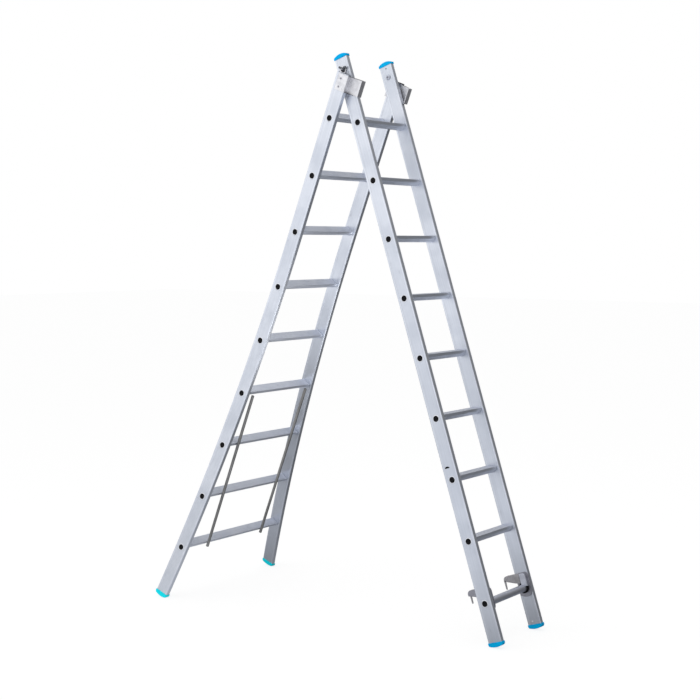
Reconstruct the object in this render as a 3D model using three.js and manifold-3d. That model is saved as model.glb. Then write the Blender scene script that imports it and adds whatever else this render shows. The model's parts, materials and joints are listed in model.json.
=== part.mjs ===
// Two-section aluminium ladder standing as an A-frame: a wide base section with flared legs and a
// narrower fly section that pivots at the top. Millimetres, +Z up, floor at z = 0, +Y across the rungs.
import * as THREE from 'three';
import { mergeVertices } from 'three/addons/utils/BufferGeometryUtils.js';
import Module from 'manifold-3d';

const wasm = await Module();
wasm.setup();

// ---- driving dimensions ------------------------------------------------------------------------
const GAP = 0.3;                  // clearance between pieces that touch on the real ladder
const RUNG_PITCH = 250;
const RUNG_COUNT = 9;             // in each section
const BASE_LEAN = 21.4;           // degrees from the vertical, top towards +X
const FLY_LEAN = 18;              // degrees from the vertical, top towards -X

const STILE_DEPTH = 62;           // box section, along the climbing direction
const STILE_THICKNESS = 20;       // box section, across the ladder
const STILE_WALL = 1.6;
const STILE_CORNER = 2.5;
const LIP_WIDTH = 9;              // raised lips beside the shallow band in both broad faces
const BAND_DEPTH = 0.8;

const BASE_WIDTH = 406;           // over the outer faces, above the flare
const FLY_WIDTH = 340;
const BASE_TOP = 2190;            // stile end, measured up the stile from rung 1
const FLY_TOP = 2279;
const BASE_TAIL = 221;            // stile below rung 1
const FLARE_START = 1495;         // the base stiles bend outwards below this height above rung 1
const FLARE_RADIUS = 8333;
const FLARE_STEPS = 24;

const TREAD_WIDTH = 39;
const TREAD_SETBACK = 4.6;        // the section's middle lies behind the axis of the end plugs
const TREAD_ABOVE_AXIS = 15;
const SHOULDER_ABOVE_AXIS = 2.5;  // lower end of the upright front and back walls
const BELLY_BELOW_AXIS = 12.2;
const BELLY_WIDTH = 21;
const RUNG_RISE = 22;             // highest tread corner above the axis, along the stile
const RUNG_WALL = 1.7;
const RUNG_TILT = 18;             // tread against the square of the stile, so it lies level in use
const TUBE_RADIUS = 15.5;         // fly rung 1
const TUBE_SIDES = 20;

const ROD_RADIUS = 6.5;
const ROD_WALL = 1.2;
const ROD_BACK = 18.9;            // rod surface in front of the rung axis
const ROD_SPREAD = 185.6;         // rod centre from the middle plane
const ROD_TOP = 744;
const ROD_TAIL = 12;

const FOOT_HEIGHT = 16;           // block below the stile end
const FOOT_CORNER = 10;           // rounded front and back corners of the sole
const SOLE_BOW = 3;               // how far the sole bulges between its corners
const SOLE_FLAT = 0.5;            // depth of the flat on the corner that touches the floor
const DOME_RADIUS = 65;           // top caps are domed
const DOME_HEIGHT = 18;
const CAP_PROUD = 2;              // feet and caps stand proud of the stile all round
const PLUG_LENGTH = 24;           // part of a cap inside the stile
const TOP_PLUG_LENGTH = 14;       // shorter plug in the base section's upper stile ends

const PIVOT_UP_BASE = 2200;       // bolt axis in the base section
const PIVOT_BACK_BASE = -25.3;
const PIVOT_UP_FLY = 2228;        // bolt axis in the fly section, on the stile's centre line
const BOLT_RADIUS = 4;
const BOLT_HEAD_RADIUS = 11.5;
const BOLT_HEAD_HEIGHT = 5;
const BOLT_REACH = 188;           // tip of the bolt from the middle plane

const SHEET = 2.5;                // folded guide bracket
const BRACKET_LOW = 2119;
const BRACKET_HIGH = 2187;
const CHEEK_BACK = -17;
const LIP_INSIDE = 87.1;          // the fly stile bears on this face of the lip
const LIP_LENGTH = 27;
const RIVET_HEIGHTS = { lower: 2134, upper: 2168 };
const RIVET_RADIUS = 2.4;

const HINGE_SEAT = 171;           // inner face of the hinge block from the middle plane
const EAR_THICKNESS = 3;
const EAR_RADIUS = 15;
const NUT_HUB_RADIUS = 8;
const WING_TILT = 35;             // the left nut has stopped with its wings up, the right one level
const WING_REACH = 22;
const WING_WIDTH = 9;
const WING_THICKNESS = 5;

const HOOK_INSIDE = 134.3;        // hook face nearest the middle plane
const HOOK_PLATE = 3.2;
const HOOK_SEAM = -4;             // the cover block ends here and the arm begins
const HOOK_TIP = 3.5;             // thickness of the turned-down tip, which is thinner than the arm
const BUSH_RADIUS = 22;           // black bush round the tube, below the cover block
const BUSH_SETBACK = 3;           // its face behind the cover block's face
const TUBE_PLAY = 0.9;            // radial clearance of hook and bush on the tube

// ---- materials ---------------------------------------------------------------------------------
function finish(color, roughness, metalness) {
  return new THREE.MeshStandardMaterial({ color, roughness, metalness });
}

const aluminium = finish(0xc9cbd2, 0.42, 0.9);
const treadAluminium = finish(0xbcc0c8, 0.5, 0.9);
const bluePlastic = finish(0x1f9bd0, 0.45, 0);
const blackPlastic = finish(0x1c1d1f, 0.5, 0);
const zincSteel = finish(0xa9a8aa, 0.45, 0.9);
const darkSteel = finish(0x6d6e72, 0.5, 0.85);

// ---- solids ------------------------------------------------------------------------------------
const radians = THREE.MathUtils.degToRad;

function toManifold(geometry) {
  const plain = geometry.clone();
  plain.deleteAttribute('normal');
  plain.deleteAttribute('uv');
  const merged = mergeVertices(plain, 1e-4);
  return new wasm.Manifold(new wasm.Mesh({
    numProp: 3,
    vertProperties: new Float32Array(merged.attributes.position.array),
    triVerts: new Uint32Array(merged.index.array),
  }));
}

function toGeometry(manifold) {
  const mesh = manifold.getMesh();
  const geometry = new THREE.BufferGeometry();
  geometry.setAttribute('position', new THREE.BufferAttribute(mesh.vertProperties, 3));
  geometry.setIndex(new THREE.BufferAttribute(mesh.triVerts, 1));
  geometry.computeVertexNormals();
  return geometry;
}

function cut(body, tools) {
  return toGeometry(tools.reduce((solid, tool) => solid.subtract(toManifold(tool)), toManifold(body)));
}

function join(...pieces) {
  return toGeometry(pieces.map(toManifold).reduce((whole, piece) => whole.add(piece)));
}

function polygon(points) {
  return new THREE.Shape(points.map(([x, y]) => new THREE.Vector2(x, y)));
}

// Extrudes an outline drawn in X-Z along Y, from y = low to y = high.
function slab(shape, low, high, curveSegments = 6) {
  return new THREE.ExtrudeGeometry(shape, { depth: high - low, bevelEnabled: false, curveSegments })
    .rotateX(Math.PI / 2)
    .translate(0, high, 0);
}

// The same slab on the left (side -1) or right (side +1) of the ladder, given as distances outwards.
function sideSlab(shape, side, inner, outer, curveSegments) {
  return side > 0 ? slab(shape, inner, outer, curveSegments) : slab(shape, -outer, -inner, curveSegments);
}

function box(x, y, z) {
  return new THREE.BoxGeometry(x[1] - x[0], y[1] - y[0], z[1] - z[0])
    .translate((x[0] + x[1]) / 2, (y[0] + y[1]) / 2, (z[0] + z[1]) / 2);
}

// A round bar along Y between two distances outwards.
function sideRod(radius, side, inner, outer, x, z, sides = 12) {
  return new THREE.CylinderGeometry(radius, radius, outer - inner, sides)
    .translate(x, side * (inner + outer) / 2, z);
}

// A turned piece about Y: profile points are [radius, distance outwards].
function turned(profile, side, x, z, sides = 16) {
  const points = profile.map(([radius, out]) => new THREE.Vector2(radius, side * out));
  if (side < 0) points.reverse();
  return new THREE.LatheGeometry(points, sides).translate(x, 0, z);
}

// ---- stiles ------------------------------------------------------------------------------------
function flare(up) {
  const below = Math.max(0, FLARE_START - up);
  return below * below / (2 * FLARE_RADIUS);
}

function flareSlope(up) {
  return Math.max(0, FLARE_START - up) / FLARE_RADIUS;
}

// Bends a piece of the base section outwards with the stile.
function bendOut(geometry, side) {
  const position = geometry.attributes.position;
  for (let i = 0; i < position.count; i += 1) {
    position.setY(i, position.getY(i) + side * flare(position.getZ(i)));
  }
  return geometry;
}

// Box section with a shallow band between raised lips on both broad faces: X is the depth.
function stileSection() {
  const x = STILE_DEPTH / 2;
  const y = STILE_THICKNESS / 2;
  const band = x - LIP_WIDTH;
  const inset = y - BAND_DEPTH;
  const arc = (shape, cx, cy, from) => {
    shape.absarc(cx, cy, STILE_CORNER, radians(from), radians(from + 90), false);
  };
  const shape = new THREE.Shape();
  shape.moveTo(-band, -y);
  shape.lineTo(-band + BAND_DEPTH, -inset);
  shape.lineTo(band - BAND_DEPTH, -inset);
  shape.lineTo(band, -y);
  arc(shape, x - STILE_CORNER, -y + STILE_CORNER, -90);
  arc(shape, x - STILE_CORNER, y - STILE_CORNER, 0);
  shape.lineTo(band, y);
  shape.lineTo(band - BAND_DEPTH, inset);
  shape.lineTo(-band + BAND_DEPTH, inset);
  shape.lineTo(-band, y);
  arc(shape, -x + STILE_CORNER, y - STILE_CORNER, 90);
  arc(shape, -x + STILE_CORNER, -y + STILE_CORNER, 180);
  const cavityX = x - STILE_WALL;
  const cavityY = inset - STILE_WALL;
  shape.holes.push(new THREE.Path([
    [-cavityX, -cavityY], [-cavityX, cavityY], [cavityX, cavityY], [cavityX, -cavityY],
  ].map(([px, py]) => new THREE.Vector2(px, py))));
  return shape;
}

function stileBlank(side, width, tail, top, steps) {
  const centre = side * (width - STILE_THICKNESS) / 2;
  return new THREE.ExtrudeGeometry(stileSection(), {
    depth: top + tail, steps, bevelEnabled: false, curveSegments: 2,
  }).translate(0, centre, -tail);
}

// ---- rungs -------------------------------------------------------------------------------------
// Flat tread, upright upper walls and a belly that narrows downwards; grow makes the socket in a stile.
function rungOutline(grow = 0) {
  const tread = TREAD_WIDTH / 2 + grow;
  const top = TREAD_ABOVE_AXIS + grow;
  const shoulder = SHOULDER_ABOVE_AXIS;
  const belly = BELLY_WIDTH / 2 + grow;
  const bottom = -BELLY_BELOW_AXIS - grow;
  return [
    [-tread, top], [-tread, shoulder], [-belly - 1.5, bottom + 3.5], [-belly + 2, bottom],
    [belly - 2, bottom], [belly + 1.5, bottom + 3.5], [tread, shoulder], [tread, top],
  ];
}

function rungSolid(halfLength, up, grow, hollow) {
  const shape = polygon(rungOutline(grow));
  if (hollow) {
    shape.holes.push(new THREE.Path(rungOutline(-RUNG_WALL).map(([x, y]) => new THREE.Vector2(x, y))));
  }
  return slab(shape, -halfLength, halfLength)
    .translate(-TREAD_SETBACK, 0, 0)
    .rotateY(radians(RUNG_TILT))
    .translate(0, 0, up);
}

function tubeSolid(halfLength, up, radius, hollow) {
  const shape = new THREE.Shape().absarc(0, 0, radius, 0, 2 * Math.PI, false);
  if (hollow) shape.holes.push(new THREE.Path().absarc(0, 0, radius - RUNG_WALL, 0, 2 * Math.PI, true));
  return slab(shape, -halfLength, halfLength, TUBE_SIDES).translate(0, 0, up);
}

// Rungs pass through the inner wall of each stile and stop short of its outer wall.
const OUTER_WALL = BAND_DEPTH + STILE_WALL + GAP;
const FLY_RUNG_HALF = FLY_WIDTH / 2 - OUTER_WALL;

function baseRungHalf(up) {
  return BASE_WIDTH / 2 - OUTER_WALL + flare(up) - flareSlope(up) * RUNG_RISE;
}

// ---- feet and caps -----------------------------------------------------------------------------
const CAP_HALF = STILE_DEPTH / 2 + CAP_PROUD;

// Outlines in X-Z of a block below a stile end at z = 0.
function footOutline() {
  const x = CAP_HALF - FOOT_CORNER;
  const z = FOOT_CORNER - FOOT_HEIGHT;
  return new THREE.Shape()
    .moveTo(-CAP_HALF, -GAP)
    .absarc(-x, z, FOOT_CORNER, Math.PI, 1.5 * Math.PI, false)
    .quadraticCurveTo(0, -FOOT_HEIGHT - 2 * SOLE_BOW, x, -FOOT_HEIGHT)
    .absarc(x, z, FOOT_CORNER, 1.5 * Math.PI, 2 * Math.PI, false)
    .lineTo(CAP_HALF, -GAP);
}

function domeOutline() {
  const reach = Math.asin(CAP_HALF / DOME_RADIUS);
  return new THREE.Shape()
    .moveTo(-CAP_HALF, -GAP)
    .absarc(0, DOME_RADIUS - DOME_HEIGHT, DOME_RADIUS, -Math.PI / 2 - reach, -Math.PI / 2 + reach, false)
    .lineTo(CAP_HALF, -GAP);
}

// A block with the given outline and a plug that fills the stile's cavity.
function endBlock(side, width, outline) {
  const outer = width / 2 + CAP_PROUD;
  const inner = width / 2 - STILE_THICKNESS - CAP_PROUD;
  const plugX = STILE_DEPTH / 2 - STILE_WALL - GAP;
  const plugOuter = width / 2 - BAND_DEPTH - STILE_WALL - GAP;
  const plugInner = plugOuter - STILE_THICKNESS + 2 * (BAND_DEPTH + STILE_WALL + GAP);
  const yRange = side > 0 ? [plugInner, plugOuter] : [-plugOuter, -plugInner];
  const plug = box([-plugX, plugX], yRange, [-GAP - 4, PLUG_LENGTH]);
  return join(sideSlab(outline, side, inner, outer, 9), plug);
}

// A block turned over for the top of a stile; the reversed index keeps its faces pointing out.
function upsideDown(geometry) {
  geometry.scale(1, 1, -1);
  geometry.setIndex(Array.from(geometry.index.array).reverse());
  return geometry;
}

// Height of a stile end's centre above the floor when its section leans and stands on a sole corner.
function soleDrop(lean) {
  const up = (FOOT_HEIGHT - FOOT_CORNER) * Math.cos(radians(lean));
  const along = (CAP_HALF - FOOT_CORNER) * Math.sin(radians(lean));
  return FOOT_CORNER - SOLE_FLAT + up + along;
}

// The part of a foot below the floor is cut away, which leaves the flat that it stands on.
function trimSole(geometry, tail, lean) {
  const depth = 20;
  const cutter = new THREE.BoxGeometry(200, 1000, depth)
    .translate(0, 0, -soleDrop(Math.abs(lean)) - depth / 2)
    .rotateY(radians(-lean))
    .translate(0, 0, -tail);
  return cut(geometry, [cutter]);
}

// ---- groups ------------------------------------------------------------------------------------
const ladder = new THREE.Group();
const base = new THREE.Group();
const fly = new THREE.Group();
ladder.add(base, fly);

function place(group, name, geometry, material) {
  const mesh = new THREE.Mesh(geometry, material);
  mesh.name = name;
  group.add(mesh);
  return mesh;
}

const SIDES = { left: -1, right: 1 };
const baseRungs = Array.from({ length: RUNG_COUNT }, (_, i) => i * RUNG_PITCH);

// The base section stands on the floor, and the fly section hangs on its pivot and is cut to the floor.
base.rotation.y = radians(BASE_LEAN);
base.position.z = soleDrop(BASE_LEAN) + BASE_TAIL * Math.cos(radians(BASE_LEAN));
const pivot = new THREE.Vector3(PIVOT_BACK_BASE, 0, PIVOT_UP_BASE)
  .applyEuler(base.rotation)
  .add(base.position);
fly.rotation.y = radians(-FLY_LEAN);
fly.position.set(0, 0, -PIVOT_UP_FLY)
  .applyEuler(fly.rotation)
  .add(pivot);
const FLY_TAIL = (fly.position.z - soleDrop(FLY_LEAN)) / Math.cos(radians(FLY_LEAN));

// ---- base section ------------------------------------------------------------------------------
for (const [sideName, side] of Object.entries(SIDES)) {
  const outerFace = BASE_WIDTH / 2;
  const innerFace = outerFace - STILE_THICKNESS;
  const rivetHoles = Object.values(RIVET_HEIGHTS)
    .map((up) => sideRod(RIVET_RADIUS + GAP, side, HINGE_SEAT - 1, outerFace + 5, 0, up, 8));

  const sockets = baseRungs.map((up) => rungSolid(baseRungHalf(up), up, GAP + 0.05, false));
  const blank = bendOut(stileBlank(side, BASE_WIDTH, BASE_TAIL, BASE_TOP, FLARE_STEPS), side);
  place(base, `base_stile_${sideName}`, cut(blank, [...sockets, ...rivetHoles]), aluminium);

  const foot = bendOut(endBlock(side, BASE_WIDTH, footOutline()).translate(0, 0, -BASE_TAIL), side);
  place(base, `base_foot_${sideName}`, trimSole(foot, BASE_TAIL, BASE_LEAN), bluePlastic);

  const plugX = STILE_DEPTH / 2 - STILE_WALL - GAP;
  const plugY = STILE_THICKNESS / 2 - BAND_DEPTH - STILE_WALL - GAP;
  const middle = side * (outerFace - STILE_THICKNESS / 2);
  const flangeY = STILE_THICKNESS / 2 - 0.5;
  place(base, `base_top_plug_${sideName}`, join(
    box([-plugX, plugX], [middle - plugY, middle + plugY], [BASE_TOP - TOP_PLUG_LENGTH, BASE_TOP + 1]),
    box([-STILE_DEPTH / 2 + 0.5, STILE_DEPTH / 2 - 0.5], [middle - flangeY, middle + flangeY],
      [BASE_TOP + GAP, BASE_TOP + 2.5]),
  ), blackPlastic);

  // Folded sheet: cheek on the outer face, web over the front edge, guide plate, turned-in lip.
  const plateIn = innerFace - GAP - SHEET;
  const webBack = STILE_DEPTH / 2 + GAP;
  const profile = [
    [CHEEK_BACK, outerFace + GAP], [webBack, outerFace + GAP], [webBack, plateIn], [LIP_INSIDE, plateIn],
    [LIP_INSIDE, innerFace - LIP_LENGTH], [LIP_INSIDE + SHEET, innerFace - LIP_LENGTH],
    [LIP_INSIDE + SHEET, plateIn + SHEET], [webBack + SHEET, plateIn + SHEET],
    [webBack + SHEET, outerFace + GAP + SHEET], [CHEEK_BACK, outerFace + GAP + SHEET],
  ].map(([x, out]) => [x, side * out]);
  const bracket = new THREE.ExtrudeGeometry(polygon(profile), {
    depth: BRACKET_HIGH - BRACKET_LOW, bevelEnabled: false,
  }).translate(0, 0, BRACKET_LOW);
  place(base, `guide_bracket_${sideName}`, cut(bracket, rivetHoles), zincSteel);

  // Block on the inner face with an ear above the stile; the bolt drops into the ear's open notch.
  const blockOuter = innerFace - GAP;
  const blockFront = webBack - 2 * GAP - 1;
  const ear = new THREE.Shape()
    .moveTo(PIVOT_BACK_BASE + EAR_RADIUS, BRACKET_HIGH - 15)
    .absarc(PIVOT_BACK_BASE, PIVOT_UP_BASE, EAR_RADIUS, 0, Math.PI, false)
    .lineTo(PIVOT_BACK_BASE - EAR_RADIUS, PIVOT_UP_BASE - 12)
    .lineTo(-STILE_DEPTH / 2, BRACKET_HIGH - 25);
  const block = polygon([
    [-STILE_DEPTH / 2, BRACKET_LOW], [blockFront, BRACKET_LOW],
    [blockFront, BRACKET_HIGH - 15], [-STILE_DEPTH / 2, BRACKET_HIGH - 15],
  ]);
  const notch = new THREE.Shape()
    .moveTo(PIVOT_BACK_BASE - BOLT_RADIUS - 0.5, PIVOT_UP_BASE + 30)
    .absarc(PIVOT_BACK_BASE, PIVOT_UP_BASE, BOLT_RADIUS + 0.5, Math.PI, 2 * Math.PI, false)
    .lineTo(PIVOT_BACK_BASE + BOLT_RADIUS + 0.5, PIVOT_UP_BASE + 30);
  const hingeBlock = cut(join(
    sideSlab(block, side, HINGE_SEAT, blockOuter),
    sideSlab(ear, side, HINGE_SEAT, HINGE_SEAT + EAR_THICKNESS, 8),
  ), [sideSlab(notch, side, HINGE_SEAT - 5, blockOuter + 5, 6), ...rivetHoles]);
  place(base, `hinge_block_${sideName}`, hingeBlock, zincSteel);

  const cheekFace = outerFace + GAP + SHEET;
  for (const [rivetName, up] of Object.entries(RIVET_HEIGHTS)) {
    const under = cheekFace + GAP;
    const rivet = turned([
      [0, HINGE_SEAT + 0.2], [RIVET_RADIUS, HINGE_SEAT + 0.2], [RIVET_RADIUS, under],
      [4.5, under], [4, under + 1.2], [2, under + 2], [0, under + 2.2],
    ], side, 0, up, 10);
    place(base, `bracket_rivet_${sideName}_${rivetName}`, rivet, zincSteel);
  }

  const rodCentre = ROD_BACK + GAP + ROD_RADIUS;
  const circle = (path, radius, clockwise) => {
    return path.absarc(rodCentre, side * ROD_SPREAD, radius, 0, 2 * Math.PI, clockwise);
  };
  const rod = circle(new THREE.Shape(), ROD_RADIUS, false);
  rod.holes.push(circle(new THREE.Path(), ROD_RADIUS - ROD_WALL, true));
  place(base, `guide_rod_${sideName}`, new THREE.ExtrudeGeometry(rod, {
    depth: ROD_TOP + ROD_TAIL, bevelEnabled: false, curveSegments: 12,
  }).translate(0, 0, -ROD_TAIL), darkSteel);
}

baseRungs.forEach((up, i) => {
  const rung = rungSolid(baseRungHalf(up), up, 0, true);
  place(base, `base_rung_${i + 1}`, rung, treadAluminium);
});

// ---- fly section -------------------------------------------------------------------------------
const flyRungs = baseRungs;
for (const [sideName, side] of Object.entries(SIDES)) {
  const outerFace = FLY_WIDTH / 2;
  const innerFace = outerFace - STILE_THICKNESS;
  const sockets = flyRungs.slice(1).map((up) => rungSolid(FLY_RUNG_HALF, up, GAP + 0.05, false));
  const tubeSocket = tubeSolid(FLY_RUNG_HALF, 0, TUBE_RADIUS + GAP + 0.2, false);
  const boltHole = sideRod(BOLT_RADIUS + GAP + 0.1, side, innerFace - 5, outerFace + 5, 0, PIVOT_UP_FLY);
  const blank = stileBlank(side, FLY_WIDTH, FLY_TAIL, FLY_TOP, 1);
  place(fly, `fly_stile_${sideName}`, cut(blank, [...sockets, tubeSocket, boltHole]), aluminium);

  const foot = endBlock(side, FLY_WIDTH, footOutline()).translate(0, 0, -FLY_TAIL);
  place(fly, `fly_foot_${sideName}`, trimSole(foot, FLY_TAIL, -FLY_LEAN), bluePlastic);

  const cap = upsideDown(endBlock(side, FLY_WIDTH, domeOutline()));
  place(fly, `fly_top_cap_${sideName}`, cap.translate(0, 0, FLY_TOP), bluePlastic);

  // Domed head inside the stile pair, shank through the stile and over the hinge block's notch.
  const headFace = innerFace - GAP;
  const bolt = turned([
    [0, headFace - BOLT_HEAD_HEIGHT], [4.5, headFace - BOLT_HEAD_HEIGHT + 0.6], [8.2, headFace - 2.6],
    [BOLT_HEAD_RADIUS, headFace], [BOLT_RADIUS, headFace], [BOLT_RADIUS, BOLT_REACH - 1],
    [BOLT_RADIUS - 1, BOLT_REACH], [0, BOLT_REACH],
  ], side, 0, PIVOT_UP_FLY, 12);
  place(fly, `pivot_bolt_${sideName}`, bolt, zincSteel);

  // Hook that swings on rung 1: a plate beside the stile, a thick arm and a thin turned-down tip.
  const plateOuter = innerFace - 0.5;
  const plateInner = plateOuter - HOOK_PLATE;
  const ringHole = (radius) => sideRod(radius, side, HOOK_INSIDE - 5, plateOuter + 5, 0, 0, TUBE_SIDES);
  const tubeHole = ringHole(TUBE_RADIUS + TUBE_PLAY);
  const armEnd = (shape) => shape
    .lineTo(-62, 61)
    .quadraticCurveTo(-79, 60, -80, 45)
    .lineTo(-79, 38)
    .lineTo(-66, 36)
    .lineTo(-27, 24);
  const plate = armEnd(new THREE.Shape()
    .moveTo(-28, -28)
    .quadraticCurveTo(-8, -40, 14, -37)
    .quadraticCurveTo(29, -33, 33, -14)
    .lineTo(33, 44)
    .quadraticCurveTo(31, 62, 16, 63))
    .lineTo(-23, 0);
  const arm = armEnd(new THREE.Shape()
    .moveTo(HOOK_SEAM - 1, 22.6)
    .lineTo(HOOK_SEAM - 1, 62));
  const tip = new THREE.Shape()
    .moveTo(-79.8, 44)
    .lineTo(-79, 9)
    .quadraticCurveTo(-76, 2, -73, 9)
    .lineTo(-71.5, 44);
  place(fly, `hook_${sideName}`, cut(join(
    sideSlab(plate, side, plateInner, plateOuter, 4),
    sideSlab(arm, side, HOOK_INSIDE, plateInner + 0.5, 4),
    sideSlab(tip, side, HOOK_INSIDE, HOOK_INSIDE + HOOK_TIP, 4),
  ), [tubeHole]), darkSteel);

  // Cover block above the tube, and the bush that the hook turns on.
  const cover = new THREE.Shape()
    .moveTo(24, 6)
    .lineTo(24, 46)
    .quadraticCurveTo(23, 59, 12, 60)
    .lineTo(HOOK_SEAM, 60)
    .lineTo(HOOK_SEAM, 6);
  const coverBlock = sideSlab(cover, side, HOOK_INSIDE, plateInner - GAP, 4);
  place(fly, `hook_cover_${sideName}`, cut(coverBlock, [ringHole(BUSH_RADIUS + GAP)]), darkSteel);
  const bush = sideRod(BUSH_RADIUS, side, HOOK_INSIDE + BUSH_SETBACK, plateInner - GAP, 0, 0, TUBE_SIDES);
  place(fly, `hook_bush_${sideName}`, cut(bush, [tubeHole]), blackPlastic);

  // Wing nut between the two stiles, clamping the ear of the hinge block.
  const hubInner = HINGE_SEAT + EAR_THICKNESS + GAP;
  const hubOuter = BASE_WIDTH / 2 - STILE_THICKNESS - GAP;
  const hub = turned([[BOLT_RADIUS + 0.4, hubInner], [NUT_HUB_RADIUS + 2, hubInner],
    [NUT_HUB_RADIUS, hubInner + 2], [NUT_HUB_RADIUS, hubOuter], [BOLT_RADIUS + 0.4, hubOuter],
    [BOLT_RADIUS + 0.4, hubInner]], side, 0, 0, 16);
  const wingUp = side < 0 ? WING_TILT : 0;
  const wings = [wingUp, 180 - wingUp].map((angle) => {
    const wing = new THREE.Shape()
      .moveTo(NUT_HUB_RADIUS - 2, -WING_WIDTH / 2 + 1)
      .lineTo(WING_REACH - WING_WIDTH / 2, -WING_WIDTH / 2)
      .absarc(WING_REACH - WING_WIDTH / 2, 0, WING_WIDTH / 2, -Math.PI / 2, Math.PI / 2, false)
      .lineTo(NUT_HUB_RADIUS - 2, WING_WIDTH / 2 - 1);
    const wingInner = (hubInner + hubOuter - WING_THICKNESS) / 2;
    return sideSlab(wing, side, wingInner, wingInner + WING_THICKNESS, 5).rotateY(radians(-angle));
  });
  const nut = place(fly, `wing_nut_${sideName}`, join(hub, ...wings), blackPlastic);
  nut.position.z = PIVOT_UP_FLY;
  nut.rotation.y = radians(FLY_LEAN);
}

flyRungs.forEach((up, i) => {
  const rung = i === 0
    ? tubeSolid(FLY_RUNG_HALF, up, TUBE_RADIUS, true)
    : rungSolid(FLY_RUNG_HALF, up, 0, true);
  place(fly, `fly_rung_${i + 1}`, rung, treadAluminium);
});

// The origin is on the floor, below the middle of the whole ladder.
ladder.updateMatrixWorld(true);
const extent = new THREE.Box3().setFromObject(ladder, true);
ladder.position.x = -(extent.min.x + extent.max.x) / 2;
ladder.updateMatrixWorld(true);

export default ladder;
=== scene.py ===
"""Looks of a two-section aluminium ladder that stands as an A-frame, built around its CAD frame."""
import json
import math

import bmesh
import bpy
from mathutils import Matrix, Vector


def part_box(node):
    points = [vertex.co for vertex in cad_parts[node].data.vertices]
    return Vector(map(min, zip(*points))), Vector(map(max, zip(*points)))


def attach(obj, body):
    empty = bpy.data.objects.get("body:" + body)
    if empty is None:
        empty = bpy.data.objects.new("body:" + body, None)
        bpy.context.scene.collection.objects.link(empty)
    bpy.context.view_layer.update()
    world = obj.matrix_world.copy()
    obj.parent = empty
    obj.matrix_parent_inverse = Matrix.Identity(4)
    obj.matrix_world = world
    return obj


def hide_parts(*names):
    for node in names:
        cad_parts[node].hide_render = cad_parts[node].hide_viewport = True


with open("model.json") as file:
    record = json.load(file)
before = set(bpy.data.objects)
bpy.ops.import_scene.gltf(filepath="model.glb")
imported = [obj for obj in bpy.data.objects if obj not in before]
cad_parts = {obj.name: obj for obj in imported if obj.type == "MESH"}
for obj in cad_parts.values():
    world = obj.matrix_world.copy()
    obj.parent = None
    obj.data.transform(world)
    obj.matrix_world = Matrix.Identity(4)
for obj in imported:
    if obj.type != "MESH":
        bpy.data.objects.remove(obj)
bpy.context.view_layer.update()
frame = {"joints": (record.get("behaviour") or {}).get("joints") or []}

# ---- driving dimensions, in millimetres unless said otherwise ------------------------------------
MM = 0.001
SIDES = {"left": -1, "right": 1}
RUNG_COUNT = 9
RUNG_PITCH = 250

STILE_DEPTH = 62
STILE_THICKNESS = 20
STILE_WALL = 1.6
STILE_CORNER = 2.5
LIP_WIDTH = 9
BAND_DEPTH = 0.8
BASE_WIDTH = 406
FLY_WIDTH = 340
BASE_TOP = 2190
FLY_TOP = 2279
BASE_TAIL = 221
FLARE_START = 1495
FLARE_RADIUS = 8333
FLARE_STEP = 36
STRAIGHT_STEP = 600
STRAIGHT_MIDDLE = 1850

TREAD_HALF = 19.5
TREAD_SETBACK = 4.6
TREAD_ABOVE_AXIS = 15
BELLY_BELOW_AXIS = 12.2
RUNG_TILT = math.radians(18)
TUBE_RADIUS = 15.5
TUBE_STEPS = 40
GROOVE_COUNT = 7
GROOVE_DEPTH = 0.8
GROOVE_MARGIN = 2.5
TREAD_CORNER = 1.4

PLUG_RADIUS = 12.3
RIM_RADIUS = 15.2

ROD_RADIUS = 6.5
ROD_WALL = 1.2
ROD_FORWARD = 25.7
ROD_SPREAD = 185.6
ROD_TOP = 744
ROD_TAIL = 12

FOOT_HEIGHT = 16
FOOT_CORNER = 10
SOLE_BOW = 3
SOLE_FLAT = 0.5
DOME_RADIUS = 65
DOME_HEIGHT = 18
CAP_PROUD = 2
BLOCK_EDGE = 1.8
END_PLUG_DEPTH = 23
TOP_PLUG_DEPTH = 14
FLANGE_HEIGHT = 2.5

PIVOT_UP_BASE = 2200
PIVOT_BACK_BASE = -25.3
PIVOT_UP_FLY = 2228

SHEET = 2.5
BRACKET_LOW = 2119
BRACKET_HIGH = 2187
CHEEK_BACK = -17
LIP_INSIDE = 87.1
LIP_LENGTH = 27
RIVET_HEIGHTS = (2134, 2168)
SMALL_RIVET = 0.8
CAP_RIVET_DROP = 11
FOOT_RIVET_UP = 12
FOOT_RIVET_BACK = -6
CLEARANCE = 0.3
HINGE_SEAT = 171
EAR_THICKNESS = 3
EAR_RADIUS = 15
BLOCK_DROP = 15
BLOCK_SETBACK = 1.3
NOTCH_PLAY = 0.5
BOLT_RADIUS = 4
BOLT_REACH = 188
SHANK_END = 176
THREAD_TURNS = 13
THREAD_PITCH = 0.85
WING_TILT = math.radians(35)
HOOK_INSIDE = 134.3
HOOK_PLATE = 3.2
HOOK_SEAM = -4
HOOK_TIP = 3.5
HOOK_GAP = 0.5
BUSH_RADIUS = 22
BUSH_SETBACK = 3
TUBE_PLAY = 0.9
PAD_RADIUS = 11.5
PAD_SQUASH = 0.78
PAD_PROUD = 1.4
PAD_ABOVE_RUNG = 47
PAD_BACK = -8
PLUG_SUNK = 4
SMOOTH_BELOW = math.radians(38)


# ---- section frames, from the joints and the rungs of the CAD frame ------------------------------
def joint_place(name):
    """The point that a joint of the record turns about, in metres."""
    return Vector(next(joint for joint in frame["joints"] if joint["name"] == name)["pos_m"])


def node_centre(node):
    """The middle of a CAD node's box."""
    low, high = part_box(node)
    return (low + high) / 2


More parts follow.
